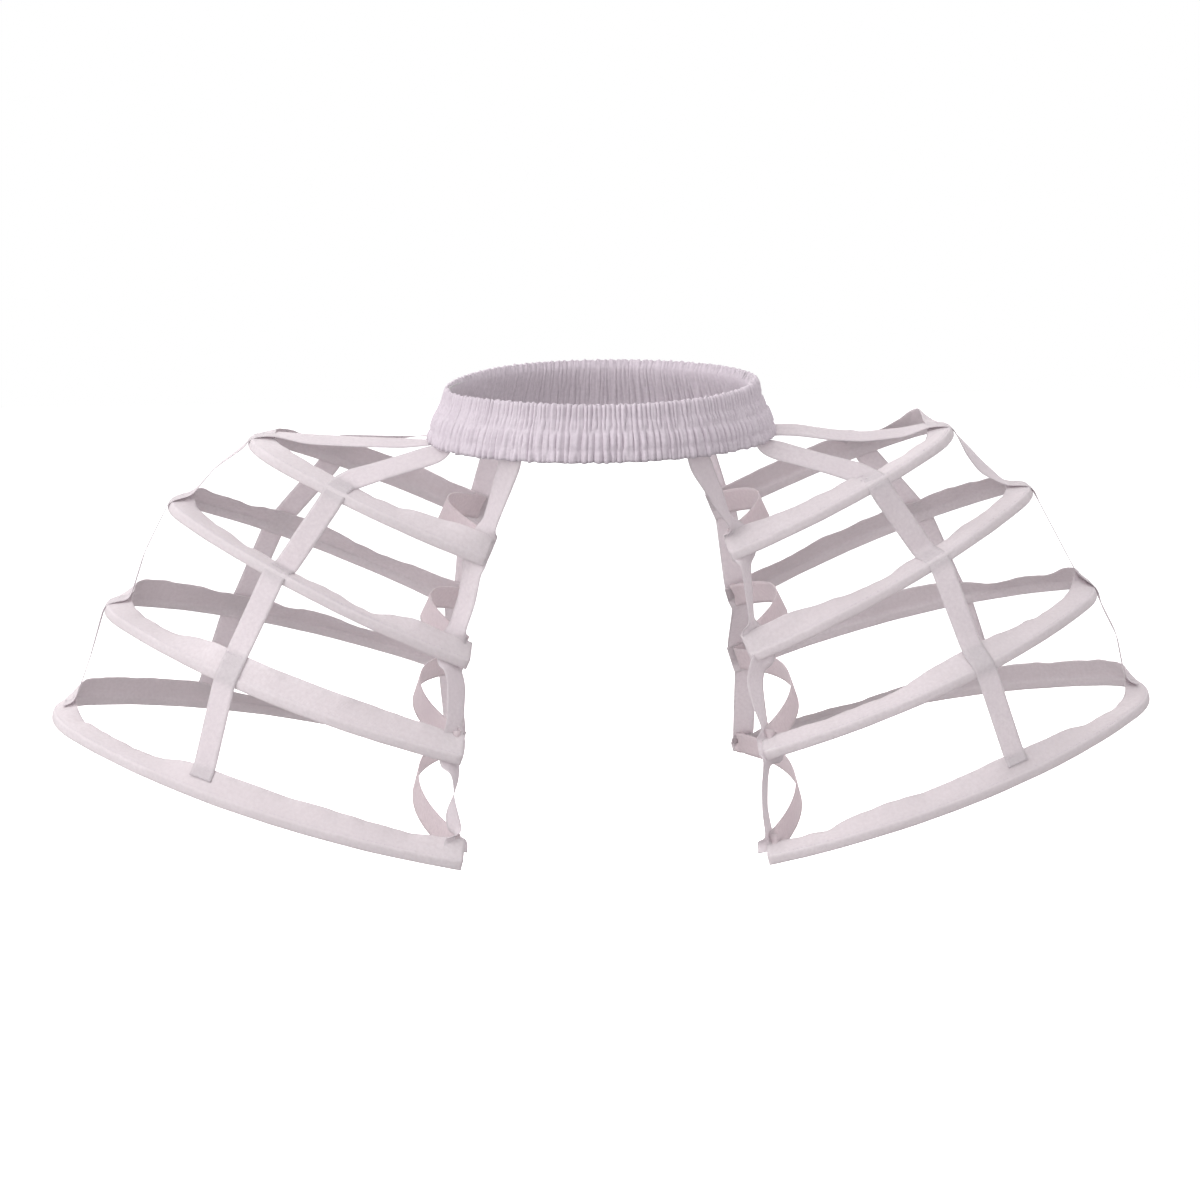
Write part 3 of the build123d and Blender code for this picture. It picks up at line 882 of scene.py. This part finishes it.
def stitch_tree():
    """A tree that puts a thread at every step along a line."""
    tree = bpy.data.node_groups.new("stitches", "GeometryNodeTree")
    tree.interface.new_socket("Geometry", in_out="INPUT", socket_type="NodeSocketGeometry")
    for name in STITCH_INPUTS:
        tree.interface.new_socket(name, in_out="INPUT", socket_type="NodeSocketFloat")
    tree.interface.new_socket("Geometry", in_out="OUTPUT", socket_type="NodeSocketGeometry")
    given = node(tree, "NodeGroupInput").outputs
    curve = node(tree, "GeometryNodeMeshToCurve", {"Mesh": given["Geometry"]})
    steps = node(
        tree, "GeometryNodeCurveToPoints", {"Curve": curve.outputs[0], "Length": given["Step"]}, mode="LENGTH"
    )
    ball = node(tree, "GeometryNodeMeshUVSphere", {"Segments": 6, "Rings": 4, "Radius": 0.5})
    low = node(tree, "ShaderNodeMath", {0: 1.0, 1: given["Uneven"]}, operation="SUBTRACT")
    vary = node(tree, "FunctionNodeRandomValue", {2: low.outputs[0], 3: 1.0, "Seed": STITCH_SEED})
    long = node(tree, "ShaderNodeMath", {0: given["Length"], 1: vary.outputs[1]}, operation="MULTIPLY")
    size = node(
        tree, "ShaderNodeCombineXYZ", {"X": given["Thread"], "Y": given["Thread"], "Z": long.outputs[0]}
    )
    threads = node(
        tree,
        "GeometryNodeInstanceOnPoints",
        {
            "Points": steps.outputs["Points"],
            "Instance": ball.outputs["Mesh"],
            "Rotation": steps.outputs["Rotation"],
            "Scale": size.outputs[0],
        },
    )
    real = node(tree, "GeometryNodeRealizeInstances", {0: threads.outputs[0]})
    shade = node(tree, "GeometryNodeSetMaterial", {"Geometry": real.outputs[0], "Material": sewing_thread})
    node(tree, "NodeGroupOutput", {"Geometry": shade.outputs[0]})
    return tree


STITCH_TREE = stitch_tree()


def sew(name, lines):
    """One piece of stitches along several lines of points."""
    points, edges = [], []
    for line in lines:
        first = len(points)
        points += line.tolist()
        edges += [(k, k + 1) for k in range(first, len(points) - 1)]
    mesh = bpy.data.meshes.new(name)
    mesh.from_pydata(points, edges, [])
    made = bpy.data.objects.new(name, mesh)
    bpy.context.scene.collection.objects.link(made)
    seam = made.modifiers.new("stitches", "NODES")
    seam.node_group = STITCH_TREE
    for socket in STITCH_TREE.interface.items_tree:
        if socket.in_out == "INPUT" and socket.name in STITCH_INPUTS:
            seam[socket.identifier] = STITCH_INPUTS[socket.name]
    plain(made)
    made.data.materials.clear()
    made.data.materials.append(sewing_thread)
    made.data.polygons.foreach_set("use_smooth", [True] * len(made.data.polygons))
    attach(made, "root")
    print(name, len(made.data.polygons), "faces")


# %% Seams on the casings, the tapes and the waistband
SEAM_UP = 0.04  # where the tunnel's seam runs, as a share of the flange
SEAM_OUT = 0.1
SEAM_STEP = 2.0
TAPE_SEAM_HALF = 8.5

for (number, side), casing in CASINGS.items():
    half = casing.hoop.half - 1
    stations = np.linspace(half, -half, int(2 * half / SEAM_STEP))
    faces = []
    for back, out_by in ((0.0, SEAM_OUT), (LAYER_GAP, -SEAM_OUT)):
        out, up = casing.layer(stations, SEAM_UP, back)
        faces.append(casing.surface(stations, out + out_by, up))
    sew(f"stitches_hoop_{number}_{side}", faces)

for side in SIDES:
    lines = []
    for name in TAPES:
        inside = name == "front_opening"
        out_by = -(INNER_TAPE + TAPE_THICK) if inside else TAPE_REST + TAPE_THICK / 2
        for number in HOOP_SIZES:
            casing = CASINGS[(number, side)]
            across = tape_at(name, side, number) + np.linspace(-TAPE_SEAM_HALF, TAPE_SEAM_HALF, 9)
            for height in (0.9, 0.5):
                out, up = casing.layer(across, height)
                lean = casing.flange_at(across)[1]
                place = casing.surface(across, out + out_by * np.cos(lean), up + out_by * np.sin(lean))
                lines.append(place)
    sew(f"stitches_tapes_{side}", lines)

angle = np.linspace(0, 360, BAND_AROUND + 1)
lines = []
for row in BAND_ROWS:
    fall = np.full_like(angle, row)
    stand = gather(angle, fall, BAND_SEED) - GATHER_VALLEY + SEAM_OUT
    lines.append(band_point(angle, band_levels(angle, fall, BAND_SEED), -stand))
sew("stitches_waistband", lines)

# %% [markdown]
# ## Camera, floor and light
# The camera stands 2.3 m away, a little to the wearer's right and above the waist, with a long lens. Most
# of the light is an even room. A broad soft lamp from the picture's left, one overhead and a little fill
# from the front give it direction, and a slightly warm one behind shines through the thin cloth.

# %% The camera
CAMERA_FAR = 2301.4
CAMERA_HIGH = 414.6
CAMERA_TURN = -2.76
CAMERA_DOWN = 14.15
CAMERA_ROLL = -0.45
PICTURE = 1200
FOCAL_PIXELS = 2770.8
SHIFT_PIXELS = 4.04

turn, down, roll = (math.radians(a) for a in (CAMERA_TURN, CAMERA_DOWN, CAMERA_ROLL))
place = np.array([CAMERA_FAR * math.sin(turn), -CAMERA_FAR * math.cos(turn), CAMERA_HIGH]) * MM
ahead = np.array([-math.sin(turn) * math.cos(down), math.cos(turn) * math.cos(down), -math.sin(down)])
level = np.array([math.cos(turn), math.sin(turn), 0])
above = np.cross(level, ahead)
right = level * math.cos(roll) + above * math.sin(roll)
upright = above * math.cos(roll) - level * math.sin(roll)

camera = bpy.data.objects.new("camera", bpy.data.cameras.new("camera"))
bpy.context.scene.collection.objects.link(camera)
matrix = np.eye(4)
matrix[:3, 0], matrix[:3, 1], matrix[:3, 2], matrix[:3, 3] = right, upright, -ahead, place
camera.matrix_world = Matrix(matrix.tolist())
camera.data.sensor_width = 36
camera.data.lens = FOCAL_PIXELS / PICTURE * camera.data.sensor_width
camera.data.shift_x = -SHIFT_PIXELS / PICTURE
camera.data.clip_end = 50
bpy.context.scene.camera = camera
bpy.context.scene.view_settings.view_transform = "Standard"
print("lens", round(camera.data.lens, 1), "mm")

# %% The floor
FLOOR = -1.05  # the cage is worn about this far above the ground
STAGE_HALF = 6.0


def seen_directly(tree):
    """1 where a ray looks at the backdrop itself, and 0 where its light falls on the cloth."""
    rays = node(tree, "ShaderNodeLightPath").outputs
    seen = rays["Is Camera Ray"]
    for kind in ("Is Glossy Ray", "Is Transmission Ray"):
        seen = node(tree, "ShaderNodeMath", {0: seen, 1: rays[kind]}, operation="MAXIMUM").outputs[0]
    return seen


def stage_material():
    """Plain white paper, which looks white to the camera and still takes a shadow."""
    material = bpy.data.materials.new("white paper")
    material.use_nodes = True
    tree = material.node_tree
    tree.nodes.clear()
    paper = node(tree, "ShaderNodeBsdfDiffuse", {"Color": linear("F2F2F2")})
    bounce = node(tree, "ShaderNodeBsdfDiffuse", {"Color": linear("8C8C8C")})
    glow = node(tree, "ShaderNodeEmission", {"Color": (1, 1, 1, 1), "Strength": 0.6})
    both = node(tree, "ShaderNodeAddShader", {0: paper.outputs[0], 1: glow.outputs[0]})
    mix = node(
        tree, "ShaderNodeMixShader", {0: seen_directly(tree), 1: bounce.outputs[0], 2: both.outputs[0]}
    )
    node(tree, "ShaderNodeOutputMaterial", {"Surface": mix.outputs[0]})
    return material


half = STAGE_HALF
corners = [(-half, -half), (half, -half), (half, half), (-half, half)]
mesh = bpy.data.meshes.new("floor")
mesh.from_pydata([(x, y, FLOOR) for x, y in corners], [], [(0, 1, 2, 3)])
mesh.materials.append(stage_material())
floor = bpy.data.objects.new("floor", mesh)
bpy.context.scene.collection.objects.link(floor)
print("floor at", FLOOR, "m")

# %% The lights
def lamp(name, place, size, power, colour):
    """A soft square lamp that faces the middle of the cage."""
    data = bpy.data.lights.new(name, "AREA")
    data.size, data.energy, data.color = size, power, colour
    made = bpy.data.objects.new(name, data)
    bpy.context.scene.collection.objects.link(made)
    aim = np.array([0, 0, -0.15]) - np.array(place)
    made.location = place
    made.rotation_euler = Vector(aim).to_track_quat("-Z", "Y").to_euler()
    return made


lamp("side light", (-2.5, -1.2, 0.8), 1.6, 28, (1.0, 1.0, 1.0))
lamp("front fill", (0.0, -3.4, 0.2), 2.4, 8, (1.0, 1.0, 1.0))
lamp("overhead", (-1.5, -0.6, 2.3), 1.9, 18, (1.0, 1.0, 1.0))
lamp("rim", (0.0, 2.8, 0.7), 2.4, 56, (1.0, 0.96, 0.92))

world = bpy.data.worlds.new("room")
bpy.context.scene.world = world
world.use_nodes = True
tree = world.node_tree
tree.nodes.clear()
room = node(tree, "ShaderNodeBackground", {"Color": (1, 1, 1, 1), "Strength": 0.98})
white = node(tree, "ShaderNodeBackground", {"Color": (1, 1, 1, 1), "Strength": 1.0})
mix = node(tree, "ShaderNodeMixShader", {0: seen_directly(tree), 1: room.outputs[0], 2: white.outputs[0]})
node(tree, "ShaderNodeOutputWorld", {"Surface": mix.outputs[0]})
print("lamps:", 4)
